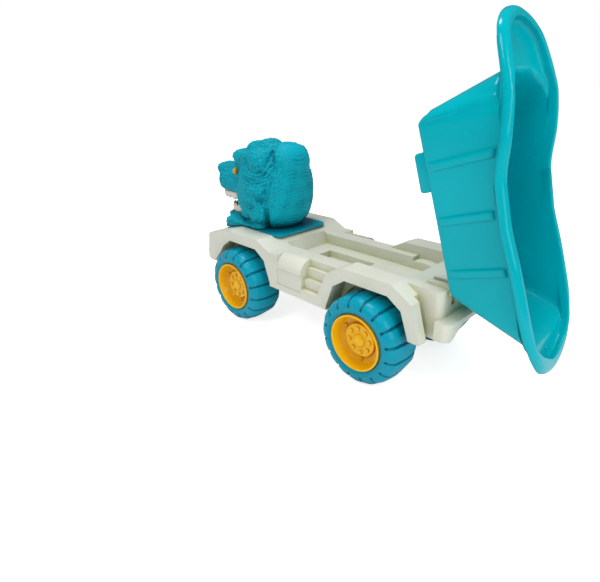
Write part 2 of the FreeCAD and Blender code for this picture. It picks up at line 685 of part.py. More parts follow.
def head_shell():
    """Soft hollow head, open underneath, with sockets for the eyes and teeth."""
    form = head_outer().cut(prism_y(MOUTH, -60, 60))
    hollow = ellipsoid(HEAD_X, 0, HEAD_H - 3, 51, 42, 49)
    hollow = hollow.cut(box(-230, -136, -80, 80, 60, 250)).cut(box(-230, 0, -80, 80, 60, HEAD_BASE_H + 5))
    hollow = hollow.fuse(ellipsoid(-164, 0, 172, 34, 20, 13))
    form = form.cut(hollow).cut(rod_z(HEAD_X, 0, 9, HEAD_BASE_H - 1, HEAD_BASE_H + 8))
    for x, y in head_screw_points():
        form = form.cut(rod_z(x, y, SCREW_R + RUNNING_GAP, HEAD_BASE_H - 1, HEAD_BASE_H + 4.5))
    for insert in (eye(-1), eye(1), upper_teeth(), lower_teeth()):
        form = form.cut(insert)
    return form


def head_screws():
    screws = []
    for x, y in head_screw_points():
        seat = PLATE_TOP_H - PLATE_T
        shank = rod_z(x, y, SCREW_R, seat, HEAD_BASE_H + 4)
        screws.append(shank.fuse(rod_z(x, y, SCREW_HEAD_R, seat - 2, seat)).removeSplitter())
    return Part.makeCompound(screws)


# ---- assembly -----------------------------------------------------------------------
def save_wheels():
    """Wheel parts are built once on the front axle, right side, then moved or mirrored."""
    parts = {"tyre": tyre(FRONT_AXLE_X), "hub": hub(FRONT_AXLE_X), "cap": axle_cap(FRONT_AXLE_X)}
    for end, shift in (("front", 0.0), ("rear", WHEELBASE)):
        save(end + "_axle", axle(FRONT_AXLE_X + shift))
        save(end + "_washers", washers(FRONT_AXLE_X + shift))
        for name, right in parts.items():
            for side in ("right", "left"):
                shape = right.copy() if side == "right" else mirrored(right)
                shape.translate(Vector(shift, 0, 0))
                save("_".join((end, side, name)), shape)


def main():
    os.makedirs("parts", exist_ok=True)
    save("chassis_shell", chassis_shell())
    save("undertray", undertray())
    save("undertray_screws", undertray_screws())
    save("head_plate", head_plate())
    save("head_shell", head_shell())
    save("left_eye", eye(-1))
    save("right_eye", eye(1))
    save("upper_teeth", upper_teeth())
    save("lower_teeth", lower_teeth())
    save("mouth_lining", mouth_lining())
    save("head_screws", head_screws())
    save("bed", bed())
    save("hinge_pin", hinge_pin())
    save_wheels()


main()
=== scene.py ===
import json
import math

import bmesh
import bpy
import numpy as np
from mathutils import Matrix, Vector


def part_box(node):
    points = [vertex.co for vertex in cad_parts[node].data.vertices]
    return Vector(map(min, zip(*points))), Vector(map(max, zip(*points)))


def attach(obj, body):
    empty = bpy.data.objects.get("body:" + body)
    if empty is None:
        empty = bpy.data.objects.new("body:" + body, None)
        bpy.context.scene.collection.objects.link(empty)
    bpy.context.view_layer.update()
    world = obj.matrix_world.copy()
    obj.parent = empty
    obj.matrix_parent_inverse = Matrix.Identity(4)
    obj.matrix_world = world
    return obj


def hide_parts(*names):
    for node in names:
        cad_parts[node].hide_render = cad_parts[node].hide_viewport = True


# Toy dump truck with a dinosaur head on the bonnet and a tipping bed.
# Lengths are millimetres along the frame's axes; make_piece() turns them into metres.
# The nose points to -X, the truck's left side is -Y and +Z is up.

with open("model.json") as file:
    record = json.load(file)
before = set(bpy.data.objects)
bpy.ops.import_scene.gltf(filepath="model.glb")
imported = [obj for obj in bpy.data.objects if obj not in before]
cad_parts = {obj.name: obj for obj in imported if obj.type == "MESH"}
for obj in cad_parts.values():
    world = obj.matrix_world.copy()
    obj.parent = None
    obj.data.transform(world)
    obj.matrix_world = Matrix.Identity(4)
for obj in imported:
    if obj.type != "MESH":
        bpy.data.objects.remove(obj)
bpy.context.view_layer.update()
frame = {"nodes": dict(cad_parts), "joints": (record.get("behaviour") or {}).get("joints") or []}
NODES = frame["nodes"]
JOINTS = {joint["name"]: joint for joint in frame["joints"]}
MM = 0.001


# ---- places taken from the frame ----------------------------------------------------
def node_box(node):
    """Lowest and highest corner of a CAD node in millimetres."""
    low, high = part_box(node)
    return np.array(low) / MM, np.array(high) / MM


def joint_point(name):
    return np.array(JOINTS[name]["pos_m"]) / MM


GROUND_Z = node_box("front_left_tyre")[0][2]
HEAD_LOW, HEAD_HIGH = node_box("head_shell")
PIVOT = joint_point("bed_tip")
TIP = -math.radians(JOINTS["bed_tip"]["range_deg"][0])


# ---- mesh helpers -------------------------------------------------------------------
def make_piece(name, points, faces, material, body, nodes=(), relief_shading=None, sharp=None):
    """Mesh object from millimetre points, riding on a body and standing for CAD nodes."""
    mesh = bpy.data.meshes.new(name)
    mesh.from_pydata((np.asarray(points, float) * MM).tolist(), [], [list(face) for face in faces])
    # Per-point values for painted shade (negative) and painted highlight (positive) in the material.
    if relief_shading is not None:
        tones = mesh.attributes.new("relief_shading", "FLOAT", "POINT")
        tones.data.foreach_set("value", np.asarray(relief_shading, float))
    work = bmesh.new()
    work.from_mesh(mesh)
    bmesh.ops.remove_doubles(work, verts=work.verts, dist=2e-6)
    bmesh.ops.dissolve_degenerate(work, dist=1e-6, edges=work.edges)
    bmesh.ops.recalc_face_normals(work, faces=work.faces)
    work.to_mesh(mesh)
    work.free()
    mesh.shade_smooth()
    if sharp is not None:
        mesh.set_sharp_from_angle(angle=math.radians(sharp))
    mesh.materials.append(material)
    piece = bpy.data.objects.new(name, mesh)
    bpy.context.scene.collection.objects.link(piece)
    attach(piece, body)
    if nodes:
        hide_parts(*nodes)


def grid_faces(rows, columns, offset=0, closed=True):
    """Quads between neighbouring rows of points; closed joins the last column to the first."""
    faces = []
    for row in range(rows - 1):
        for column in range(columns if closed else columns - 1):
            after = (column + 1) % columns
            a = offset + row * columns
            faces.append((a + column, a + after, a + columns + after, a + columns + column))
    return faces


def lathe(profile, centre, segments):
    """Points and faces of a (radius, y) profile turned about the y axis through centre."""
    angles = np.linspace(0, 2 * math.pi, segments, endpoint=False)
    rows = []
    for radius, y in profile:
        rows.append(np.stack([centre[0] + radius * np.cos(angles), np.full(segments, y),
                              centre[2] + radius * np.sin(angles)], axis=1))
    return np.concatenate(rows), grid_faces(len(profile), segments)


def arc(cx, cy, radius, start, end, steps):
    """Points on an arc, angles in degrees."""
    angles = np.radians(np.linspace(start, end, steps))
    return [(cx + radius * math.cos(a), cy + radius * math.sin(a)) for a in angles]


def smooth_step(low, high, value):
    share = np.clip((value - low) / (high - low), 0, 1)
    return share * share * (3 - 2 * share)


def merge(parts):
    """One point list and face list out of several."""
    points, faces, start = [], [], 0
    for part_points, part_faces in parts:
        points.append(np.asarray(part_points, float))
        faces += [tuple(start + index for index in face) for face in part_faces]
        start += len(part_points)
    return np.concatenate(points), faces


def mirrored(part):
    """The same part on the other side of y = 0."""
    points, faces = part
    return points * np.array([1, -1, 1]), [face[::-1] for face in faces]


# ---- materials ----------------------------------------------------------------------
class Shader:
    """Short way to build a node material."""

    def __init__(self, name):
        self.material = bpy.data.materials.new(name)
        self.material.use_nodes = True
        self.tree = self.material.node_tree
        self.surface = self.tree.nodes["Principled BSDF"]
        self.place = self.add("ShaderNodeTexCoord").outputs["Object"]

    def add(self, kind, inputs=None, **settings):
        node = self.tree.nodes.new(kind)
        for key, value in settings.items():
            setattr(node, key, value)
        for key, value in (inputs or {}).items():
            self.put(node.inputs[key], value)
        return node

    def put(self, socket, value):
        if isinstance(value, bpy.types.NodeSocket):
            self.tree.links.new(value, socket)
        else:
            socket.default_value = value

    def set(self, name, value):
        self.put(self.surface.inputs[name], value)

    def noise(self, scale, detail=3.0, stretch=(1, 1, 1)):
        place = self.add("ShaderNodeMapping", {"Vector": self.place, "Scale": stretch}).outputs[0]
        node = self.add("ShaderNodeTexNoise", {"Vector": place, "Scale": scale, "Detail": detail})
        return node.outputs["Fac"]

    def remap(self, value, low, high, to_low=0.0, to_high=1.0):
        node = self.add("ShaderNodeMapRange", {"Value": value, "From Min": low, "From Max": high,
                                               "To Min": to_low, "To Max": to_high})
        return node.outputs["Result"]

    def mix(self, factor, first, second, blend="MIX"):
        node = self.add("ShaderNodeMix", data_type="RGBA", blend_type=blend)
        for index, value in ((0, factor), (6, first), (7, second)):
            self.put(node.inputs[index], value)
        return node.outputs[2]

    def times(self, first, second):
        return self.add("ShaderNodeMath", {0: first, 1: second}, operation="MULTIPLY").outputs[0]

    def bump(self, height, distance, strength=1.0, normal=None):
        inputs = {"Height": height, "Distance": distance, "Strength": strength}
        if normal is not None:
            inputs["Normal"] = normal
        return self.add("ShaderNodeBump", inputs).outputs["Normal"]


def linear(red, green, blue):
    """Display colour (0-255) to the shader's linear colour."""
    parts = (red, green, blue)
    return tuple(((c / 255 + 0.055) / 1.055) ** 2.4 if c > 10 else c / 3295 for c in parts) + (1.0,)


def shade(colour, share):
    return tuple(min(1.0, c * share) for c in colour[:3]) + (1.0,)


def moulded(name, colour, roughness, painted_shade=None, relief_shading=False, grain=0.00006, coat=0.0, edge=0.00045,
            painted_shade_reach=0.03, gloss=0.35):
    """Moulded plastic: cloudy colour, orange peel, fine scuffs, patchy lighter edges, painted shade in
    recesses and, when asked, painted shade in creases and painted highlight on raised parts.
    """
    s = Shader(name)
    cloud = s.remap(s.noise(11.0, 4.0), 0.3, 0.7)
    base = s.mix(cloud, shade(colour, 0.93), shade(colour, 1.07))
    round_normal = s.add("ShaderNodeBevel", {"Radius": edge}, samples=4).outputs["Normal"]
    if relief_shading:
        # Painted shade where the mesh's per-point value is negative, in creases and grooves, and painted
        # highlight where it is positive, on raised parts.
        height = s.add("ShaderNodeAttribute", attribute_name="relief_shading").outputs["Fac"]
        base = s.mix(s.remap(height, 0.0, -1.0), base, shade(colour, 0.6))
        base = s.mix(s.remap(height, 0.0, 1.0, 0.0, 0.35), base, shade(colour, 1.5))
    if painted_shade:
        # Painted shade: the darker second colour is mixed in where ambient occlusion finds surfaces close
        # by, in hollows, corners and under parts.
        painted_shade_mask = s.add("ShaderNodeAmbientOcclusion", {"Distance": painted_shade_reach}, samples=4).outputs["AO"]
        base = s.mix(s.remap(painted_shade_mask, 0.85, 0.25), base, painted_shade)
    flat = s.add("ShaderNodeNewGeometry").outputs["Normal"]
    turn = s.add("ShaderNodeVectorMath", {0: round_normal, 1: flat}, operation="DOT_PRODUCT")
    turn = turn.outputs["Value"]
    # Lighter in patches along rounded edges.
    edge_lightening = s.times(s.remap(turn, 0.985, 0.86), s.remap(s.noise(140.0), 0.42, 0.62))
    base = s.mix(s.times(edge_lightening, 0.35), base, shade(colour, 1.9))
    scuffs = s.remap(s.noise(90.0, 6.0, (1.0, 9.0, 2.5)), 0.63, 0.72)
    base = s.mix(s.times(scuffs, 0.12), base, shade(colour, 1.7))
    rough = s.remap(s.noise(46.0, 4.0), 0.3, 0.7, roughness * 0.86, roughness * 1.16)
    rough = s.add("ShaderNodeMath", {0: rough, 1: s.times(scuffs, 0.16)}, operation="ADD").outputs[0]
    peel = s.bump(s.noise(1500.0, 2.0), grain, 0.5, round_normal)
    s.set("Normal", s.bump(s.noise(60.0, 2.0), 0.00025, 0.25, peel))
    s.set("Base Color", base)
    s.set("Roughness", rough)
    s.set("IOR", 1.49)
    s.set("Specular IOR Level", gloss)
    s.set("Coat Weight", coat)
    s.set("Coat Roughness", 0.06)
    return s.material


def brushed_steel(name):
    """Drawn steel wire with fine lines along y and dull oxide patches."""
    s = Shader(name)
    lines = s.noise(1400.0, 3.0, (1.0, 0.04, 1.0))
    patches = s.remap(s.noise(180.0, 4.0), 0.45, 0.7)
    s.set("Base Color", s.mix(patches, linear(190, 190, 192), linear(140, 136, 130)))
    s.set("Metallic", 1.0)
    s.set("Roughness", s.remap(lines, 0.3, 0.7, 0.22, 0.42))
    s.set("Normal", s.bump(lines, 0.00004, 0.6))
    return s.material


# Each material's darker second colour below is painted shade for its hollows, corners and gaps; head and
# tyres also get painted shade in creases and grooves and painted highlight on raised parts.
CREAM = moulded("cream_satin", linear(222, 223, 209), 0.34, painted_shade=linear(198, 199, 156), edge=0.0007,
                painted_shade_reach=0.018)
BED_TEAL = moulded("bed_gloss_teal", linear(0, 180, 194), 0.14, painted_shade=linear(0, 160, 172), coat=0.16,
                   grain=0.00002, painted_shade_reach=0.05, gloss=0.1)
PLATE_TEAL = moulded("plate_teal", linear(0, 160, 184), 0.3, painted_shade=linear(0, 92, 112), gloss=0.2)
HEAD_TEAL = moulded("head_vinyl_teal", linear(0, 172, 192), 0.55, painted_shade=linear(0, 84, 102), relief_shading=True,
                    grain=0.00012, painted_shade_reach=0.016, gloss=0.12)
TYRE_TEAL = moulded("tyre_teal", linear(0, 154, 180), 0.3, painted_shade=linear(0, 84, 108), relief_shading=True,
                    painted_shade_reach=0.016, gloss=0.2)
HUB_ORANGE = moulded("hub_orange", linear(252, 194, 16), 0.22, painted_shade=linear(206, 118, 0), coat=0.2,
                     painted_shade_reach=0.012, gloss=0.25)
TOOTH_WHITE = moulded("tooth_white", linear(226, 222, 208), 0.38, painted_shade=linear(150, 140, 120),
                      painted_shade_reach=0.006)
MOUTH_BLACK = moulded("mouth_black", linear(16, 16, 20), 0.6)
EYE_YELLOW = moulded("eye_yellow", linear(226, 172, 40), 0.2, painted_shade=linear(150, 90, 10), coat=0.5)
STEEL = brushed_steel("drawn_steel")


# ---- carried-over CAD nodes ---------------------------------------------------------
def finish_node(node, material, bevel=0.0):
    """Material on a CAD node, with rounded edges from modifiers where bevel is given."""
    obj = NODES[node]
    obj.data.materials.clear()
    obj.data.materials.append(material)
    if bevel:
        weld = obj.modifiers.new("weld", "WELD")
        weld.merge_threshold = 5e-6
        flat = obj.modifiers.new("flatten", "DECIMATE")
        flat.decimate_type = "DISSOLVE"
        flat.angle_limit = math.radians(1.0)
        rounding = obj.modifiers.new("round_edges", "BEVEL")
        rounding.width = bevel * MM
        rounding.segments = 3
        rounding.limit_method = "ANGLE"
        rounding.angle_limit = math.radians(28)
        rounding.harden_normals = True
        rounding.use_clamp_overlap = True


def finish_cad_nodes():
    finish_node("chassis_shell", CREAM, 1.1)
    finish_node("undertray", CREAM, 0.8)
    finish_node("head_plate", PLATE_TEAL, 0.8)
    finish_node("mouth_lining", MOUTH_BLACK)
    for node in ("hinge_pin", "front_axle", "rear_axle", "front_washers", "rear_washers",
                 "undertray_screws", "head_screws"):
        finish_node(node, STEEL)


# ---- bed ----------------------------------------------------------------------------
# The bed is drawn level: u forward from the tail corner of its floor, y across, w up.
LOFT_H = 82.0               # height of the tub's upper outline
FLOOR_TAIL_U, FLOOR_FRONT_U = -2.0, 156.0
TOP_TAIL_U, TOP_FRONT_U = -66.0, 176.0
TAIL_HALF, FRONT_HALF, TOP_HALF = 43.0, 47.0, 44.6
TAIL_CORNER, TAIL_TOP_CORNER = 12.0, 22.0
FRONT_CORNER, FRONT_TOP_CORNER = 7.0, 38.0
BED_WALL = 2.4
RIM_ROLL = 5.8
RIM_OUT = 9.2
RIM_DROP = 6.5
LIP_T = 2.0
SHELF_DROP = 10.0
RIB_U = (23.0, 69.0, 115.0)
RIB_HALF = 3.25
RIB_RISE = 1.5
BAND_U = 151.0              # edge of the raised band round the front corners
PIVOT_U = 5.4               # hinge centre, forward of the tail corner
PIVOT_DROP = 7.0            # and below the floor
SIDE_LOW_U, SIDE_HIGH_U = 17.0, 134.0   # straight part of the side walls
RIM_TAIL_U, RIM_FRONT_U = -64.0, 196.0  # where the rim meets the tail's and the front's corners
RIM_SIDE_LOW_U, RIM_SIDE_HIGH_U = -38.0, 150.0
FLOOR_EDGE_R = 6.5          # under the floor
FLOOR_INNER_R = 15.0        # inside, round the floor
SHELF_EASE = 7.0            # rounding from the shelf into the wall
PIP_U = -57.0               # moulding pip in the tail
RIM_PLAN = [(-79.0, 0.0), (-75.0, 16.5), (-64.0, 30.0), (-47.0, 41.5), (-24.0, 49.5), (10.0, 50.7),
            (60.0, 50.7), (120.0, 50.7), (150.0, 47.0), (176.0, 43.0), (196.0, 37.2), (207.5, 26.5),
            (214.0, 13.5), (216.5, 0.0)]
RIM_WAVE = [(-90.0, 58.0), (-60.0, 64.0), (-25.0, 65.5), (20.0, 64.5), (70.0, 62.0), (95.0, 64.0),
            (125.0, 72.5), (150.0, 77.0), (190.0, 75.5), (225.0, 71.0)]


def through(knots, x):
    """Smooth curve through (x, value) knots."""
    at, value = np.array(knots, float).T
    slope = np.gradient(value, at)
    i = np.clip(np.searchsorted(at, x) - 1, 0, len(at) - 2)
    span = at[i + 1] - at[i]
    t = (x - at[i]) / span
    return ((2 * t**3 - 3 * t**2 + 1) * value[i] + (t**3 - 2 * t**2 + t) * span * slope[i]
            + (3 * t**2 - 2 * t**3) * value[i + 1] + (t**3 - t**2) * span * slope[i + 1])


def wave(u):
    return through(RIM_WAVE, u)


def rim_half():
    """Finely stepped half outline of the rim: u, y and the length along it."""
    steps = 60
    before = (RIM_PLAN[1][0], -RIM_PLAN[1][1])
    after = (RIM_PLAN[-2][0], -RIM_PLAN[-2][1])
    plan = np.array([before] + RIM_PLAN + [after])
    index = np.arange(-1, len(plan) - 1, dtype=float)
    at = np.linspace(0, len(RIM_PLAN) - 1, steps * (len(RIM_PLAN) - 1) + 1)
    u = through(np.column_stack([index, plan[:, 0]]), at)
    y = through(np.column_stack([index, plan[:, 1]]), at)
    length = np.concatenate([[0], np.cumsum(np.hypot(np.diff(u), np.diff(y)))])
    return u, y, length


def side_half(u):
    """Half width of the floor at u."""
    return TAIL_HALF + (FRONT_HALF - TAIL_HALF) * (u - FLOOR_TAIL_U) / (FLOOR_FRONT_U - FLOOR_TAIL_U)


def side_stations():
    """Stations along the side wall, dense at the edges of the ribs."""
    start, end = FLOOR_TAIL_U + TAIL_CORNER, FLOOR_FRONT_U - FRONT_CORNER
    stations = list(np.linspace(start, SIDE_LOW_U, 9)) + list(np.linspace(SIDE_HIGH_U, end, 8))
    for centre in RIB_U:
        for step in (-0.5, -0.12, 0.12, 0.5):
            stations += [centre - RIB_HALF + step, centre + RIB_HALF + step]
        stations += [centre - 1.2, centre + 1.2]
    margin = RIB_HALF + 2
    for low, high in zip(RIB_U, (RIB_U[1] - margin, RIB_U[2] - margin, SIDE_HIGH_U - 1.5)):
        stations += list(np.linspace(low + margin, high, 12))
    return np.array(sorted(set(np.round(stations, 3))))


def bed_columns():
    """Matching points of the floor's, the tub top's and the rim's outlines on one half."""
    rim_u, rim_y, rim_s = rim_half()
    front = len(rim_u) // 2

    def rim_at(part, target, values):
        order = np.argsort(values[part])
        return np.interp(target, values[part][order], rim_s[part][order])

    tail_part, front_part = slice(0, front), slice(front, None)
    s_tail = rim_at(tail_part, RIM_TAIL_U, rim_u)
    s_front = rim_at(front_part, RIM_FRONT_U, rim_u)
    columns = []
    y_tail = side_half(FLOOR_TAIL_U + TAIL_CORNER) - TAIL_CORNER
    for f in np.linspace(0, 1, 15):
        columns.append((FLOOR_TAIL_U, y_tail * f, TOP_TAIL_U, (TOP_HALF - TAIL_TOP_CORNER) * f,
                        s_tail * f, -1, 0))
    s_corner = rim_at(tail_part, RIM_SIDE_LOW_U, rim_u)
    for f in np.linspace(0, 1, 13)[1:-1]:
        c, s = math.cos(f * math.pi / 2), math.sin(f * math.pi / 2)
        columns.append((FLOOR_TAIL_U + TAIL_CORNER * (1 - c), y_tail + TAIL_CORNER * s,
                        TOP_TAIL_U + TAIL_TOP_CORNER * (1 - c), TOP_HALF - TAIL_TOP_CORNER * (1 - s),
                        s_tail + (s_corner - s_tail) * f, -c, s))
    start, end = FLOOR_TAIL_U + TAIL_CORNER, FLOOR_FRONT_U - FRONT_CORNER
    knots = (start, SIDE_LOW_U, SIDE_HIGH_U, end)
    for u in side_stations():
        top_u = np.interp(u, knots, (TOP_TAIL_U + TAIL_TOP_CORNER, SIDE_LOW_U, SIDE_HIGH_U,
                                     TOP_FRONT_U - FRONT_TOP_CORNER))
        rim_station = np.interp(u, knots, (RIM_SIDE_LOW_U, SIDE_LOW_U, SIDE_HIGH_U, RIM_SIDE_HIGH_U))
        part = tail_part if rim_station < 60 else front_part
        columns.append((u, side_half(u), top_u, TOP_HALF, rim_at(part, rim_station, rim_u), 0, 1))
    s_side = rim_at(front_part, RIM_SIDE_HIGH_U, rim_u)
    y_front = side_half(end) - FRONT_CORNER
    for f in np.linspace(0, 1, 17)[1:]:
        c, s = math.cos(f * math.pi / 2), math.sin(f * math.pi / 2)
        columns.append((end + FRONT_CORNER * s, y_front + FRONT_CORNER * c,
                        TOP_FRONT_U - FRONT_TOP_CORNER * (1 - s), TOP_HALF - FRONT_TOP_CORNER * (1 - c),
                        s_side + (s_front - s_side) * f, s, c))
    for f in np.linspace(0, 1, 17)[1:]:
        columns.append((FLOOR_FRONT_U, y_front * (1 - f),
                        TOP_FRONT_U, (TOP_HALF - FRONT_TOP_CORNER) * (1 - f),
                        s_front + (rim_s[-1] - s_front) * f, 1, 0))
    table = np.array(columns, float)
    s = table[:, 4]
    rim = np.column_stack([np.interp(s, rim_s, rim_u), np.interp(s, rim_s, rim_y)])
    ahead = np.column_stack([np.interp(s + 0.4, rim_s, rim_u), np.interp(s + 0.4, rim_s, rim_y)])
    behind = np.column_stack([np.interp(s - 0.4, rim_s, rim_u), np.interp(s - 0.4, rim_s, rim_y)])
    along = ahead - behind
    along /= np.linalg.norm(along, axis=1)[:, None]
    rim_out = np.column_stack([-along[:, 1], along[:, 0]])
    rim_out[0], rim_out[-1] = (-1, 0), (1, 0)
    half = {"floor": table[:, 0:2], "top": table[:, 2:4], "wall_out": table[:, 5:7],
            "rim": rim, "rim_out": rim_out}
    flip = np.array([1.0, -1.0])
    return {key: np.concatenate([value, (value * flip)[-2:0:-1]]) for key, value in half.items()}


def bend(a, corner, b, steps):
    """Rows of a rounded corner from a to b."""
    rows = []
    for t in np.linspace(0, 1, steps):
        rows.append(a * (1 - t) ** 2 + corner * 2 * t * (1 - t) + b * t * t)
    return rows


def straight(a, b, steps):
    """Rows between a and b, without the ends."""
    return [a + (b - a) * t for t in np.linspace(0, 1, steps + 2)[1:-1]]


def bed_rows():
    """Rows round the bed's section, from under the floor, over the rim, to the floor inside."""
    c = bed_columns()
    count = len(c["floor"])
    across = np.abs(c["wall_out"][:, 1])
    middle = np.column_stack([np.clip(c["floor"][:, 0], 34.0, 118.0), np.zeros(count)])

    def wall(w, inset=0.0):
        w = np.broadcast_to(np.asarray(w, float), (count,))
        plan = c["floor"] + (c["top"] - c["floor"]) * (w / LOFT_H)[:, None] - c["wall_out"] * inset
        return np.column_stack([plan, w])

    def rim(inset, drop):
        plan = c["rim"] - c["rim_out"] * np.broadcast_to(inset, (count,))[:, None]
        return np.column_stack([plan, wave(plan[:, 0]) - drop])

    def floor_row(outline, share, w):
        return np.column_stack([middle + (outline - middle) * share, np.full(count, w)])

    def toward(a, b, distance):
        """Points at a distance from a on the way to b, at most 45 percent of it."""
        way = b - a
        size = np.maximum(np.linalg.norm(way, axis=1), 1e-6)
        return a + way * (np.minimum(distance, 0.45 * size) / size)[:, None]

    def meeting(inset, drop):
        """Height where the wall comes to the shelf."""
        height = np.full(count, 55.0)
        for _ in range(8):
            height = wave(wall(height, inset)[:, 0]) - drop
        return height

    def gap(surface):
        return np.einsum("ij,ij->i", c["rim"] - surface[:, :2], c["rim_out"])

    under_h = meeting(0.0, SHELF_DROP)
    over_h = meeting(BED_WALL, SHELF_DROP - BED_WALL)
    lip_in = np.minimum(RIM_OUT - BED_WALL, gap(wall(under_h)))
    tail_lip = 5.0 * smooth_step(-55, -74, c["rim"][:, 0])
    crest_in = np.minimum(RIM_OUT + tail_lip, gap(wall(over_h, BED_WALL)))
    lip = np.minimum(LIP_T, lip_in - 0.8)
    roll = np.minimum(RIM_ROLL, crest_in - 1.6)
    edge_r = FLOOR_EDGE_R - 3.0 * smooth_step(0.5, 1.0, across)

    rows = [floor_row(c["floor"], share, 0.0) for share in (0.0, 0.3, 0.6, 0.8)]
    bottom = wall(0.0)
    start = bottom.copy()
    start[:, :2] -= c["wall_out"] * edge_r[:, None]
    rows += bend(start, bottom, wall(edge_r), 8)
    wall_end = wall(under_h - 1.2)
    first_raised = len(rows)
    rows += straight(wall(edge_r + 0.3), wall_end, 14) + [wall(under_h - 1.0)]
    last_raised = len(rows)
    under_corner = wall(under_h)
    channel_low = rim(lip_in, SHELF_DROP)
    rows += bend(wall(under_h - 0.8), under_corner, toward(under_corner, channel_low, 2.0), 4)
    rows += bend(toward(channel_low, under_corner, 0.7), channel_low, rim(lip_in, SHELF_DROP - 0.7), 3)
    rows += bend(rim(lip_in, LIP_T + 0.8), rim(lip_in, LIP_T), rim(lip_in - 0.3, LIP_T), 3)
    rows += bend(rim(lip + 0.3, LIP_T), rim(lip, LIP_T), rim(lip, LIP_T + 0.8), 3)
    rows += bend(rim(lip, RIM_DROP - 0.7), rim(lip, RIM_DROP), rim(lip / 2, RIM_DROP), 3)
    rows += bend(rim(lip / 2, RIM_DROP), rim(0.0, RIM_DROP), rim(0.0, RIM_DROP - 0.7), 3)[1:]
    for angle in np.radians(np.linspace(0, 90, 9)):
        rows.append(rim(roll * (1 - math.cos(angle)), RIM_ROLL * (1 - math.sin(angle))))
    rows += bend(rim(crest_in - 1.3, 0.0), rim(crest_in, 0.0), rim(crest_in, 1.3), 4)
    shelf = SHELF_DROP - BED_WALL
    shelf_out = rim(crest_in, shelf)
    shelf_in = wall(over_h, BED_WALL)
    rows += bend(rim(crest_in, shelf - 4.0), shelf_out, toward(shelf_out, shelf_in, 5.0), 6)
    wall_top = wall(over_h - SHELF_EASE, BED_WALL)
    wall_foot = wall(BED_WALL + FLOOR_INNER_R, BED_WALL)
    rows += bend(toward(shelf_in, shelf_out, SHELF_EASE), shelf_in, wall_top, 9)
    rows += straight(wall_top, wall_foot, 10)
    inside = wall(BED_WALL, BED_WALL)
    inside_end = inside.copy()
    inside_end[:, :2] -= c["wall_out"] * FLOOR_INNER_R
    rows += bend(wall_foot, inside, inside_end, 8)
    rows += [floor_row(inside_end[:, :2], share, BED_WALL) for share in (0.8, 0.6, 0.3, 0.0)]
    raise_bands(rows, first_raised, last_raised, c)
    return rows


def raise_bands(rows, first, last, c):
    """Lifts the three ribs of each side and the band round the front off the wall."""
    station = c["floor"][:, 0]
    on_side = np.abs(c["wall_out"][:, 1]) > 0.999
    lift = np.zeros(len(station))
    for centre in RIB_U:
        rib = smooth_step(RIB_HALF + 0.3, RIB_HALF - 0.3, np.abs(station - centre))
        lift = np.maximum(lift, on_side * rib)
    lift = np.maximum(lift, smooth_step(BAND_U, BAND_U + 0.8, station))
    for row in rows[first:last]:
        row[:, :2] += c["wall_out"] * (lift * RIB_RISE)[:, None]


def tipped(points):
    """Level bed to the tipped rest pose, in the frame."""
    points = np.asarray(points, float)
    x = PIVOT_U - points[:, 0]
    z = PIVOT_DROP + points[:, 2]
    c, s = math.cos(TIP), math.sin(TIP)
    return np.column_stack([PIVOT[0] + x * c + z * s, points[:, 1], PIVOT[2] - x * s + z * c])


def moulding_pip():
    """Low round pip on the tail's shelf."""
    sides = 20
    profile = ((2.2, -0.6), (2.1, 0.25), (1.5, 0.6), (0.01, 0.65))
    angles = np.linspace(0, 2 * math.pi, sides, endpoint=False)
    rows = []
    for radius, height in profile:
        u = PIP_U + radius * np.cos(angles)
        w = wave(u) - SHELF_DROP + BED_WALL + height
        rows.append(np.column_stack([u, radius * np.sin(angles), w]))
    return np.concatenate(rows), grid_faces(len(rows), sides)


def bed_tub():
    rows = bed_rows()
    tub = (np.concatenate(rows), grid_faces(len(rows), len(rows[0])))
    points, faces = merge([tub, moulding_pip()])
    make_piece("bed_tub", tipped(points), faces, BED_TEAL, "bed", ["bed"])


def plate_ring(outline, hole, y0, y1, rounding):
    """Thick plate across y with a hole; outline and hole have the same number of (u, w) points."""
    outline, hole = np.array(outline), np.array(hole)
    centre = hole.mean(axis=0)
    rows = []
    for y, shrink in ((y0, rounding), (y0 + rounding, 0), (y1 - rounding, 0), (y1, rounding)):
        way = outline - centre
        size = np.linalg.norm(way, axis=1)[:, None]
        ring = centre + way * (size - shrink) / size
        rows.append(np.column_stack([ring[:, 0], np.full(len(ring), y), ring[:, 1]]))
    for y in (y1, y0):
        rows.append(np.column_stack([hole[:, 0], np.full(len(hole), y), hole[:, 1]]))
    rows.append(rows[0])
    return np.concatenate(rows), grid_faces(len(rows), len(outline))


def bed_lugs():
    """Hinge eyes with webs that reach the floor's underside."""
    eye_r, bore_r, sides = 6.0, 2.15, 48
    y0, y1 = 24.5, 30.5
    outline, hole = [], []
    for k in range(sides):
        angle = 2 * math.pi * k / sides
        du, dw = math.cos(angle), math.sin(angle)
        reach = eye_r
        if dw > 0:
            sideways = eye_r + 10.0 if du > 0 else eye_r
            reach = min((PIVOT_DROP + 0.8) / dw, sideways / max(abs(du), 1e-6))
        outline.append((PIVOT_U + reach * du, -PIVOT_DROP + reach * dw))
        hole.append((PIVOT_U + bore_r * du, -PIVOT_DROP + bore_r * dw))
    lug = plate_ring(outline, hole, y0, y1, 0.5)
    points, faces = merge([lug, mirrored(lug)])
    make_piece("bed_lugs", tipped(points), faces, BED_TEAL, "bed", sharp=35)


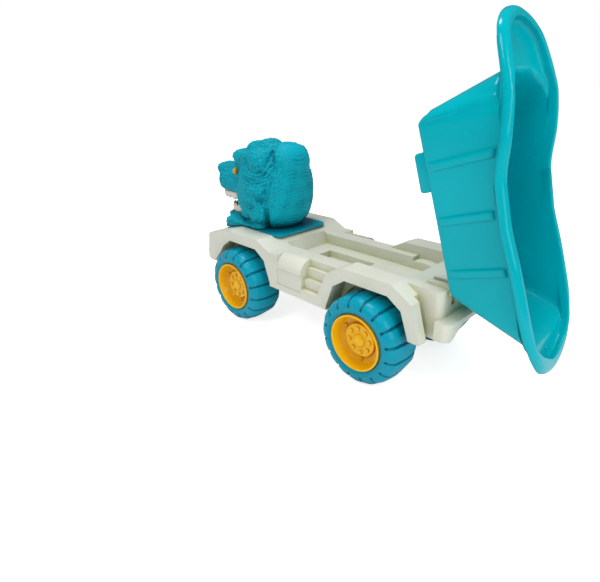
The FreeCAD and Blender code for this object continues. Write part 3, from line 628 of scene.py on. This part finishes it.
def soft_box(low, high, radius):
    """Box with rounded edges and corners, as points and faces."""
    low, high = np.array(low, float), np.array(high, float)
    work = bmesh.new()
    bmesh.ops.create_cube(work, size=1.0)
    for vert in work.verts:
        vert.co = Vector((low + high) / 2) + Vector(np.array(vert.co) * (high - low))
    bmesh.ops.bevel(work, geom=work.edges[:], offset=radius, segments=5, profile=0.5, affect="EDGES")
    points = np.array([tuple(vert.co) for vert in work.verts])
    faces = [tuple(vert.index for vert in face.verts) for face in work.faces]
    work.free()
    return points, faces


def bed_feet():
    """Two feet under the floor that drop beside the trough when the bed is down."""
    foot = soft_box((95, 34.2, -11), (129, 43.2, 3.9), 3.0)
    points, faces = merge([foot, mirrored(foot)])
    make_piece("bed_feet", tipped(points), faces, BED_TEAL, "bed")


# ---- wheels -------------------------------------------------------------------------
GROOVES = 16
GROOVE_HALF = 1.55
GROOVE_DEPTH = 2.6
GROOVE_TURN = 13.4          # degrees from the x axis to the first groove
TYRE_R = 48.0
HUB_R = 30.0
STUDS = 8
STUD_RING_R = 12.8
PIN_RING_R = 21.8           # three small domes on the dish


def tyre_profile(y_out, y_in):
    """(radius, y) points round the tyre's section, from the outer bead over the tread inwards."""
    sign = 1 if y_out > y_in else -1
    width = abs(y_out - y_in)
    section = [(HUB_R + 0.1, 8.0), (HUB_R + 0.1, 3.0), (HUB_R + 0.3, 1.9), (HUB_R + 1.2, 1.5)]
    section += [(HUB_R + 1.2 + k * 0.9, 1.5 - 1.5 * smooth_step(0, 6, k)) for k in range(1, 7)]
    section += arc(36.8, 10.0, 10.0, -90, 0, 17)
    for k in range(1, 18):
        y = 10.0 + (width - 20.0) * k / 18
        section.append((46.8 + 1.2 * math.sin(math.pi * k / 18), y))
    section += arc(36.8, width - 10.0, 10.0, 0, 90, 13)
    section += [(34.0, width), (31.5, width - 0.4)]
    section += [(HUB_R + 0.1, width - 1.5), (HUB_R + 0.1, width - 8.0)]
    return [(radius, y_out - sign * y) for radius, y in section]


def tyre(name, body):
    """Tyre with slanting tread grooves, crowned between them."""
    low, high = node_box(name)
    y_out, y_in = (high[1], low[1]) if high[1] > 0 else (low[1], high[1])
    centre = joint_point(body.replace("_wheels", "_axle_spin"))
    profile = np.array(tyre_profile(y_out, y_in))
    pitch = 2 * math.pi / GROOVES
    edge = GROOVE_HALF / TYRE_R / pitch
    fill = np.linspace(edge + 0.05, 1 - edge - 0.05, 9)
    step = 0.022
    cut_sides = [-edge - step, -edge, -edge + step, 0, edge - step, edge, edge + step]
    shares = np.array(cut_sides + list(fill))
    angles = np.concatenate([(k + shares) * pitch for k in range(GROOVES)]) + math.radians(GROOVE_TURN)
    width = abs(y_out - y_in)
    reach = smooth_step(36.6, 37.8, profile[:, 0])
    nearest = (np.tile(shares, GROOVES) + 0.5) % 1.0 - 0.5
    across = np.abs(nearest) * pitch * TYRE_R
    points, relief_shading = [], []
    for (radius, y), strength in zip(profile, reach):
        cut = strength * smooth_step(GROOVE_HALF + 0.25, GROOVE_HALF - 0.75, across)
        crown = strength * 0.55 * (1 - smooth_step(GROOVE_HALF, pitch * TYRE_R / 2, across)) * (1 - cut)
        shrink = GROOVE_DEPTH * cut + crown
        inward = smooth_step(44.0, 38.0, radius)
        side = 1 if abs(y - y_out) < width / 2 else -1
        y_shift = -shrink * inward * np.sign(y_out - y_in) * side
        r_here = radius - shrink * (1 - inward * 0.8)
        points.append(np.column_stack([centre[0] + r_here * np.cos(angles), y + y_shift,
                                       centre[2] + r_here * np.sin(angles)]))
        # Painted shade in the grooves: the cut darkens the colour there.
        relief_shading.append(-cut)
    faces = grid_faces(len(points) + 1, len(angles))
    points.append(points[0])
    relief_shading.append(relief_shading[0])
    make_piece(name + "_body", np.concatenate(points), faces, TYRE_TEAL, body,
               [name], np.concatenate(relief_shading))


def dome(x, y, z, radius, height, sign, steps=5, segments=20):
    """Round-topped stud standing on a plane of constant y."""
    profile = [(radius, y - sign * 1.0), (radius, y + sign * height * 0.45)]
    for k in range(1, steps + 1):
        angle = math.pi / 2 * k / steps
        rise = height * (0.45 + 0.55 * math.sin(angle))
        profile.append((max(radius * math.cos(angle), 0.01), y + sign * rise))
    return lathe(profile, (x, 0, z), segments)


def hub(name, cap, body):
    """Dished hub with a rolled lip, raised centre, studs and an axle dome."""
    low, high = node_box(name)
    sign = 1 if high[1] > 0 else -1
    face = high[1] if sign > 0 else low[1]
    back = low[1] if sign > 0 else high[1]
    centre = joint_point(body.replace("_wheels", "_axle_spin"))
    section = [(HUB_R, 12.5), (HUB_R, 1.2)]
    section += arc(HUB_R - 1.1, 1.1, 1.1, 0, -180, 9)
    section += [(HUB_R - 2.4, 2.4), (HUB_R - 3.2, 5.0), (HUB_R - 4.2, 8.4)]
    section += [(HUB_R - 5.2, 11.0), (HUB_R - 6.4, 12.2), (HUB_R - 8.0, 12.7)]
    section += [(19.4, 12.8), (18.6, 12.5)]
    section += arc(16.9, 10.8, 1.3, 0, -90, 5)
    section += [(15.4, 9.4), (14.0, 9.7), (9.0, 9.9), (7.8, 9.8), (7.2, 9.5)]
    section += [(7.0 * math.cos(a), 9.3 - 2.6 * math.sin(a)) for a in np.linspace(0.05, 1.56, 8)]
    width = abs(back - face)
    rear = [(0.2, width - 1.0), (9.0, width - 1.0), (9.0, 16.0), (HUB_R - 5.0, 16.0),
            (HUB_R - 3.0, width), (HUB_R, width), (HUB_R, 12.5)]
    outside = [(radius, face - sign * depth) for radius, depth in section]
    inside = [(radius, face - sign * depth) for radius, depth in rear]
    parts = [lathe(outside, centre, 96), lathe(outside[-1:] + inside, centre, 96)]
    for k in range(STUDS):
        angle = 2 * math.pi * (k + 0.2) / STUDS
        parts.append(dome(centre[0] + STUD_RING_R * math.cos(angle), face - sign * 9.8,
                          centre[2] + STUD_RING_R * math.sin(angle), 2.3, 2.3, sign))
    for k in range(3):
        angle = math.radians(34 + 120 * k)
        parts.append(dome(centre[0] + PIN_RING_R * math.cos(angle), face - sign * 12.7,
                          centre[2] + PIN_RING_R * math.sin(angle), 2.0, 1.6, sign))
    points, faces = merge(parts)
    make_piece(name + "_dish", points, faces, HUB_ORANGE, body, [name, cap], sharp=50)


def wheels():
    for end in ("front", "rear"):
        for side in ("left", "right"):
            prefix = end + "_" + side
            tyre(prefix + "_tyre", end + "_wheels")
            hub(prefix + "_hub", prefix + "_cap", end + "_wheels")


# ---- head ---------------------------------------------------------------------------
# The head is drawn about its skull: f forward to the snout, s sideways, h up from the plate.
SKULL = np.array([HEAD_HIGH[0] - 56.0, 0.0, HEAD_LOW[2]])
CELL = 1.25


def blob(f, s, h, centre, size, power=2.0, turn=0.0, lean=0.0):
    """Signed distance, nearly, to an ellipsoid that gets boxier as power rises.

    turn swings it in plan and lean tilts it, in degrees.
    """
    f, s, h = f - centre[0], s - centre[1], h - centre[2]
    if turn:
        c, n = math.cos(math.radians(turn)), math.sin(math.radians(turn))
        f, s = f * c + s * n, s * c - f * n
    if lean:
        c, n = math.cos(math.radians(lean)), math.sin(math.radians(lean))
        f, h = f * c + h * n, h * c - f * n
    shares = [np.abs(value / half) + 1e-6 for value, half in zip((f, s, h), size)]
    total = sum(share**power for share in shares)
    outer = total ** (1 / power)
    slope = np.sqrt(sum((share ** (power - 1) / half) ** 2 for share, half in zip(shares, size)))
    return (outer - 1) / (slope * outer / total)


def unite(a, b, soft):
    share = np.clip(0.5 + 0.5 * (b - a) / soft, 0, 1)
    return b * (1 - share) + a * share - soft * share * (1 - share)


def carve(a, b, soft):
    return -unite(-a, b, soft)


# centre (f, s, h), half sizes, blend radius, boxiness, turn, lean
MASSES = [
    ((4, 0, 95), (15, 16, 13), 4, 2.3, 0, 0),           # crest
    ((22, 0, 91), (19, 19, 12), 5, 2.4, 0, 12),         # crest's front step
    ((-23, 0, 80), (27, 31, 25), 3, 2.3, 0, -3),        # mane over the nape
    ((38, 0, 81), (26, 28, 12), 4, 2.8, 0, 4),          # forehead and brows
    ((43, 10, 65), (20, 17, 15), 5, 2.2, 8, 0),         # around the eye
    ((63, 0, 47), (44, 26, 18), 6, 2.7, 0, 2),          # muzzle
    ((93, 0, 62), (19, 19, 9), 4, 2.4, 0, 6),           # nose
    ((55, 0, 1), (34, 23, 8), 5, 2.6, 0, 0),            # lower jaw
    ((22, 0, -8), (40, 43.5, 15), 3, 8.0, 0, 0),        # bib over the plate's front
    ((26, 0, 32), (32, 34, 28), 10, 2.2, 0, 0),         # cheeks
    ((-11, 31, 86.5), (15.5, 14.5, 13), 2.5, 2.0, 18, 0),  # temple boss
    ((12, 29, 87), (14, 9, 7), 3, 2.0, 14, 10),         # brow's rear end
    ((-16, 41, 51.5), (15, 8.5, 6.5), 1.5, 2.2, 17, 0),  # cheek pad
    ((-9, 36, 20), (14, 10, 13), 4, 2.0, 14, 0),        # jaw muscle
    ((12, 37, 38), (12, 8, 8), 4, 2.0, 4, 0),           # cheek
    ((14, 34, 18), (11, 9, 9), 4, 2.0, 4, 0),           # corner of the jaw
]
HOLLOWS = [
    ((-24, 42, 70), (14, 8, 4.5), 5, 2.0, 20, 0),       # behind the temple
    ((-20, 45, 38), (9, 8, 4.5), 6, 2.0, 20, 0),        # ear notch
    ((56, 27, 77.5), (10, 8, 4.5), 2.5, 2.0, 10, 0),    # under the brow
    ((62, 29, 57), (16, 5, 4), 4, 2.0, 6, 0),           # along the muzzle
    ((30, 39, 77), (13, 6, 3.5), 3, 2.0, 10, 0),        # crease behind the eye
    ((0, 48, 62), (16, 5, 4), 4, 2.0, 6, 0),            # under the temple
    ((2, 46, 29), (12, 5, 4), 4, 2.0, 6, 0),            # between cheek and jaw
]
# crease between face and mane
MANE_EDGE = [(-19, 10, 106), (-23, 17, 100), (-29, 26, 90), (-33, 32, 75), (-32, 37.5, 58),
             (-28, 41, 41), (-26, 36, 22), (-18, 28, 2)]
ROW_STEP = 4.1              # height of a row of beads on the mane
BEAD_STEP = 5.2
FOLD_STEP = 4.4             # between the folds round the temple
TEMPLE = (-10, 33, 86)


def line_distance(points, line):
    """Distance to a chain of straight pieces."""
    nearest = np.full(points.shape[:-1], 1e9)
    for a, b in zip(np.array(line[:-1], float), np.array(line[1:], float)):
        way = b - a
        share = np.clip((points - a) @ way / (way @ way), 0, 1)
        nearest = np.minimum(nearest, np.linalg.norm(points - a - share[..., None] * way, axis=-1))
    return nearest


def head_field(f, s, h):
    """Signed distance, nearly, to the head's smooth form."""
    s = np.abs(s)
    slim = 1 + 0.27 * smooth_step(0, 55, f)
    form = blob(f, s * slim, h, (0, 0, 46), (50, 46, 55), 2.4)
    for centre, size, soft, power, turn, lean in MASSES:
        form = unite(form, blob(f, s, h, centre, size, power, turn, lean), soft)
    for centre, size, soft, power, turn, lean in HOLLOWS:
        form = carve(form, blob(f, s, h, centre, size, power, turn, lean), soft)
    crease = line_distance(np.stack([f, s, h], axis=-1), MANE_EDGE) - 2.6
    form = carve(form, crease, 5.0)
    upper = h - 35.0 + (f - 100) * 0.03
    lower = 8.5 - h - (f - 60) * 0.12
    gap = np.maximum(np.maximum(upper, lower), 43.0 - f)
    form = carve(form, gap, 2.5)
    return np.maximum(form, 0.4 - h - 0.232 * np.maximum(f - 16, 0))


def surface_net(field, low, high, cell):
    """Quad mesh of the zero surface of a field sampled on a grid."""
    axes = [np.arange(a, b + cell, cell) for a, b in zip(low, high)]
    grid = field(*np.meshgrid(*axes, indexing="ij"))
    inside = grid < 0
    cells = tuple(n - 1 for n in grid.shape)
    total = np.zeros(cells + (3,))
    hits = np.zeros(cells)
    for axis in range(3):
        first = [slice(None)] * 3
        second = [slice(None)] * 3
        first[axis], second[axis] = slice(0, -1), slice(1, None)
        a, b = grid[tuple(first)], grid[tuple(second)]
        cross = (a < 0) != (b < 0)
        share = np.where(cross, a / np.where(cross, a - b, 1), 0)
        others = [k for k in range(3) if k != axis]
        for i in (0, 1):
            for j in (0, 1):
                view = [slice(None)] * 3
                view[others[0]] = slice(i, i + cells[others[0]])
                view[others[1]] = slice(j, j + cells[others[1]])
                here = cross[tuple(view)]
                total[..., axis] += np.where(here, share[tuple(view)], 0)
                total[..., others[0]] += here * i
                total[..., others[1]] += here * j
                hits += here
    used = hits > 0
    number = -np.ones(cells, int)
    number[used] = np.arange(used.sum())
    corner = np.stack(np.nonzero(used), axis=1)
    points = (corner + total[used] / hits[used][:, None]) * cell + np.array([a[0] for a in axes])
    faces = []
    for axis in range(3):
        first = [slice(1, -1)] * 3
        second = [slice(1, -1)] * 3
        first[axis], second[axis] = slice(0, -1), slice(1, None)
        a, b = inside[tuple(first)], inside[tuple(second)]
        i, j = [k for k in range(3) if k != axis]
        for out_first in (True, False):
            where = np.stack(np.nonzero((a != b) & (a != out_first)), axis=1)
            where[:, [i, j]] += 1
            quad = []
            for di, dj in ((0, 0), (1, 0), (1, 1), (0, 1)):
                index = where.copy()
                index[:, i] -= 1 - di
                index[:, j] -= 1 - dj
                quad.append(number[tuple(index.T)])
            quad = np.stack(quad, axis=1)
            if out_first == (axis == 1):
                quad = quad[:, ::-1]
            faces.append(quad)
    return points, np.concatenate(faces)


def slope_of(field, points, step=0.4):
    """Unit normals of the field's surface."""
    normal = np.zeros_like(points)
    for axis in range(3):
        ahead, behind = points.copy(), points.copy()
        ahead[:, axis] += step
        behind[:, axis] -= step
        normal[:, axis] = field(*ahead.T) - field(*behind.T)
    return normal / np.maximum(np.linalg.norm(normal, axis=1)[:, None], 1e-9)


def hashed(cell_index, salt):
    """Repeatable pseudo-random numbers in 0..1 for integer cells."""
    a, b, c = np.moveaxis(cell_index, -1, 0)
    mixed = (a * 73856093) ^ (b * 19349663) ^ (c * 83492791)
    mixed = (mixed + salt * 2654435761) & 0x7FFFFFFF
    mixed = (mixed ^ (mixed >> 13)) * 1274126177 & 0x7FFFFFFF
    return (mixed & 0xFFFF) / 65535.0


def pebbles(points, size):
    """Rounded scale pattern, 1 in the middle of a scale and 0 in the creases between scales."""
    place = points / size
    base = np.floor(place).astype(np.int64)
    nearest = np.full(len(points), 9.0)
    second = np.full(len(points), 9.0)
    for di in (-1, 0, 1):
        for dj in (-1, 0, 1):
            for dk in (-1, 0, 1):
                cell = base + np.array([di, dj, dk])
                seed = cell + np.stack([hashed(cell, k) for k in (1, 2, 3)], axis=1) * 0.75 + 0.12
                distance = np.linalg.norm(seed - place, axis=1)
                closer = distance < nearest
                second = np.where(closer, nearest, np.minimum(second, distance))
                nearest = np.where(closer, distance, nearest)
    return smooth_step(0.0, 0.42, second - nearest)


def skin_relief(points, normal):
    """Height of the skin over the smooth form: beaded rows on the mane, scales and folds on the face; and
    a colour value, painted shade in the creases and painted highlight on the raised rows and scales.
    """
    f, s, h = points[:, 0], np.abs(points[:, 1]), points[:, 2]
    edge = np.interp(h, [2, 22, 41, 58, 75, 90, 100], [-18, -26, -28, -32, -33, -29, -23])
    mane = smooth_step(2, -3, f - edge)
    sway = (2.2 * np.sin(f * 0.13 + 1.0) + 1.6 * np.sin(s * 0.21 + f * 0.09)
            + 0.8 * np.sin(f * 0.37 + h * 0.11) + 0.7 * np.sin(s * 0.43 - h * 0.17))
    row = (h + sway + 0.12 * (f - edge)) / ROW_STEP
    patch = 0.55 + 0.45 * np.sin(f * 0.19 + s * 0.11 + h * 0.23) * np.sin(s * 0.16 - h * 0.12 + 2.0)
    patch = patch * (1 - 0.75 * smooth_step(80, 96, h))
    around = np.arctan2(s, f + 10) * 44
    bead = np.sin(around * 2 * math.pi / BEAD_STEP + np.floor(row) * math.pi + 0.8 * np.sin(row))
    rows = np.sin(row * 2 * math.pi)
    near_edge = smooth_step(22, 4, edge - f) * smooth_step(20, 34, h)
    fine = pebbles(points, 4.7)
    coarse = pebbles(points + 50.0, 5.8)
    from_temple = np.linalg.norm(np.column_stack([f, s, h]) - np.array(TEMPLE), axis=1)
    folds = np.sin(from_temple * 2 * math.pi / FOLD_STEP)
    fold_zone = (smooth_step(13, 17, from_temple) * smooth_step(40, 30, from_temple) * (1 - mane)
                 * smooth_step(92, 84, h) * smooth_step(44, 36, f))
    face = 1 - mane
    height = mane * patch * (0.75 * rows + 0.35 * bead + 0.7 * (fine - 0.6)) * (1 - 0.6 * near_edge)
    height += mane * near_edge * 1.15 * (coarse - 0.6)
    height += face * (1 - fold_zone) * (1.0 + 0.3 * smooth_step(60, 75, f)) * (fine - 0.6)
    height += fold_zone * (0.6 * folds + 0.55 * (fine - 0.6))
    # Painted shade in the creases and painted highlight on the raised rows, scales and folds.
    painted_shading = mane * patch * 0.8 * rows * (1 - near_edge) + fold_zone * folds * 0.5
    painted_shading += (near_edge * mane + face) * (fine - 0.7) * 0.85
    flat = smooth_step(-0.9, -0.6, normal[:, 2])
    return height * flat, np.clip(painted_shading, -1, 1) * flat


def head_to_frame(points):
    return np.column_stack([SKULL[0] - points[:, 0], points[:, 1], SKULL[2] + points[:, 2]])


def head():
    points, faces = surface_net(head_field, (-63, -53, -14), (118, 53, 114), CELL)
    normal = slope_of(head_field, points)
    height, painted_shading = skin_relief(points, normal)
    points = points + normal * height[:, None]
    make_piece("head_skin", head_to_frame(points), faces.tolist(), HEAD_TEAL, "chassis",
               ["head_shell"], painted_shading)


def tooth_band(name, node, root_h, tip_h, rear_f, front_f, half, count):
    """Gum strip with a row of blunt teeth round a jaw."""
    steps = count * 8
    turn = np.linspace(-1, 1, steps + 1) * math.pi / 2
    f = rear_f + (front_f - rear_f) * np.cos(turn) ** 0.7
    s = half * np.sign(turn) * np.abs(np.sin(turn)) ** 0.8
    along = np.gradient(np.column_stack([f, s]), axis=0)
    out = np.column_stack([along[:, 1], -along[:, 0]]) / np.linalg.norm(along, axis=1)[:, None]
    point = np.abs(np.sin(np.linspace(0, count * math.pi, steps + 1))) ** 0.45
    section = ((0.0, -2.6), (0.0, 0.2), (0.3, 0.9), (0.6, 0.9), (0.85, 0.4), (1.0, -0.6),
               (0.85, -1.7), (0.5, -2.5), (0.0, -2.6))
    rows = []
    for share, push in section:
        level = root_h + (tip_h - root_h) * share * (0.62 + 0.38 * point)
        shift = push + 0.5 * point
        rows.append(np.column_stack([f + out[:, 0] * shift, s + out[:, 1] * shift, level]))
    faces = grid_faces(len(rows), steps + 1, closed=False)
    for end in (0, steps):
        faces.append(tuple(row * (steps + 1) + end for row in range(len(rows) - 1)))
    points = head_to_frame(np.concatenate(rows))
    make_piece(name, points, faces, TOOTH_WHITE, "chassis", [node])


def eye(side):
    """Yellow eyeball, a little flattened."""
    node = {-1: "left_eye", 1: "right_eye"}[side]
    low, high = node_box(node)
    centre = (low + high) / 2
    radius = (high[1] - low[1]) / 2
    angles = np.linspace(0, math.pi, 25)
    profile = [(max(radius * math.sin(a), 0.01), radius * math.cos(a)) for a in angles]
    ball, faces = lathe(profile, (0, 0, 0), 48)
    ball = ball * np.array([0.75, side * 0.95, 0.88])
    make_piece(node + "_ball", ball + centre, faces, EYE_YELLOW, "chassis", [node])


def details():
    """Teeth and eyes."""
    tooth_band("upper_tooth_band", "upper_teeth", 36.0, 24.5, 54.0, 100.0, 20.5, 13)
    tooth_band("lower_tooth_band", "lower_teeth", 6.0, 19.0, 46.0, 82.0, 18.5, 11)
    for side in (-1, 1):
        eye(side)


# ---- stage --------------------------------------------------------------------------
WORLD_LIGHT = 0.33          # strength of the surroundings for diffuse light
WORLD_GLOSS = 0.08          # and for reflections
FLOOR_GLOW = 0.74           # brings the shaded paper floor up to white for the camera


def area_light(name, place, aim, size, power):
    """White area light; size is one side of a square or the two sides of a rectangle."""
    light = bpy.data.lights.new(name, "AREA")
    light.energy = power
    if isinstance(size, tuple):
        light.shape = "RECTANGLE"
        light.size, light.size_y = size
    else:
        light.size = size
    obj = bpy.data.objects.new(name, light)
    obj.location = place
    obj.rotation_euler = (Vector(aim) - Vector(place)).to_track_quat("-Z", "Y").to_euler()
    bpy.context.scene.collection.objects.link(obj)


def floor():
    """Paper-white floor that runs out of view."""
    size, level = 40.0, GROUND_Z * MM - 0.0004
    mesh = bpy.data.meshes.new("floor")
    corners = [(-size, -size, level), (size, -size, level), (size, size, level), (-size, size, level)]
    mesh.from_pydata(corners, [], [(0, 1, 2, 3)])
    s = Shader("floor_paper")
    s.set("Base Color", s.mix(s.noise(3.0), linear(250, 250, 250), linear(246, 247, 248)))
    s.set("Roughness", 0.9)
    s.set("Specular IOR Level", 0.1)
    s.set("Emission Color", (1, 1, 1, 1))
    s.set("Emission Strength", s.times(s.add("ShaderNodeLightPath").outputs["Is Camera Ray"], FLOOR_GLOW))
    mesh.materials.append(s.material)
    obj = bpy.data.objects.new("floor", mesh)
    bpy.context.scene.collection.objects.link(obj)


def studio():
    """White surroundings for the camera, dimmer for the object, and soft lights round it."""
    world = bpy.data.worlds.new("studio")
    world.use_nodes = True
    tree = world.node_tree
    path = tree.nodes.new("ShaderNodeLightPath")
    steps = (("glossy", "Is Glossy Ray", WORLD_GLOSS), ("camera", "Is Camera Ray", 1.0))
    for name, seen, strength in steps:
        step = tree.nodes.new("ShaderNodeMix")
        step.name = name
        step.inputs[2].default_value = WORLD_LIGHT
        step.inputs[3].default_value = strength
        tree.links.new(path.outputs[seen], step.inputs[0])
    tree.links.new(tree.nodes["glossy"].outputs[0], tree.nodes["camera"].inputs[2])
    background = tree.nodes["Background"]
    background.inputs["Color"].default_value = (1, 1, 1, 1)
    tree.links.new(tree.nodes["camera"].outputs[0], background.inputs["Strength"])
    bpy.context.scene.world = world
    bpy.context.scene.view_settings.view_transform = "Standard"
    middle = (0.05, 0.0, 0.08)
    area_light("key", (0.1, -1.2, 1.5), middle, 0.55, 8.5)
    area_light("top", (-0.3, 0.1, 1.9), middle, 0.6, 15.0)
    area_light("side", (-1.6, -0.9, 0.6), middle, 0.9, 2.0)
    area_light("rear", (1.5, -0.3, 0.7), middle, 0.8, 6.0)
    area_light("window", (1.15, -0.25, 1.0), (0.2, 0.0, 0.05), (0.05, 0.5), 2.4)


def photo_camera():
    """Camera behind the truck on its left side, looking down over the deck."""
    camera = bpy.data.cameras.new("camera")
    camera.sensor_width = 36.0
    camera.lens = 26.7
    camera.shift_x, camera.shift_y = -0.004, -0.0155
    camera.clip_start = 0.01
    right = Vector((0.6957, 0.7181, -0.0176))
    up = Vector((-0.2701, 0.2841, 0.9200))
    back = Vector((0.6656, -0.6353, 0.3916))
    obj = bpy.data.objects.new("camera", camera)
    rotation = Matrix((right, up, back)).transposed()
    obj.matrix_world = Matrix.Translation((0.3422, -0.3805, 0.2391)) @ rotation.to_4x4()
    bpy.context.scene.collection.objects.link(obj)
    bpy.context.scene.camera = obj


finish_cad_nodes()
bed_tub()
bed_lugs()
bed_feet()
wheels()
head()
details()
floor()
studio()
photo_camera()
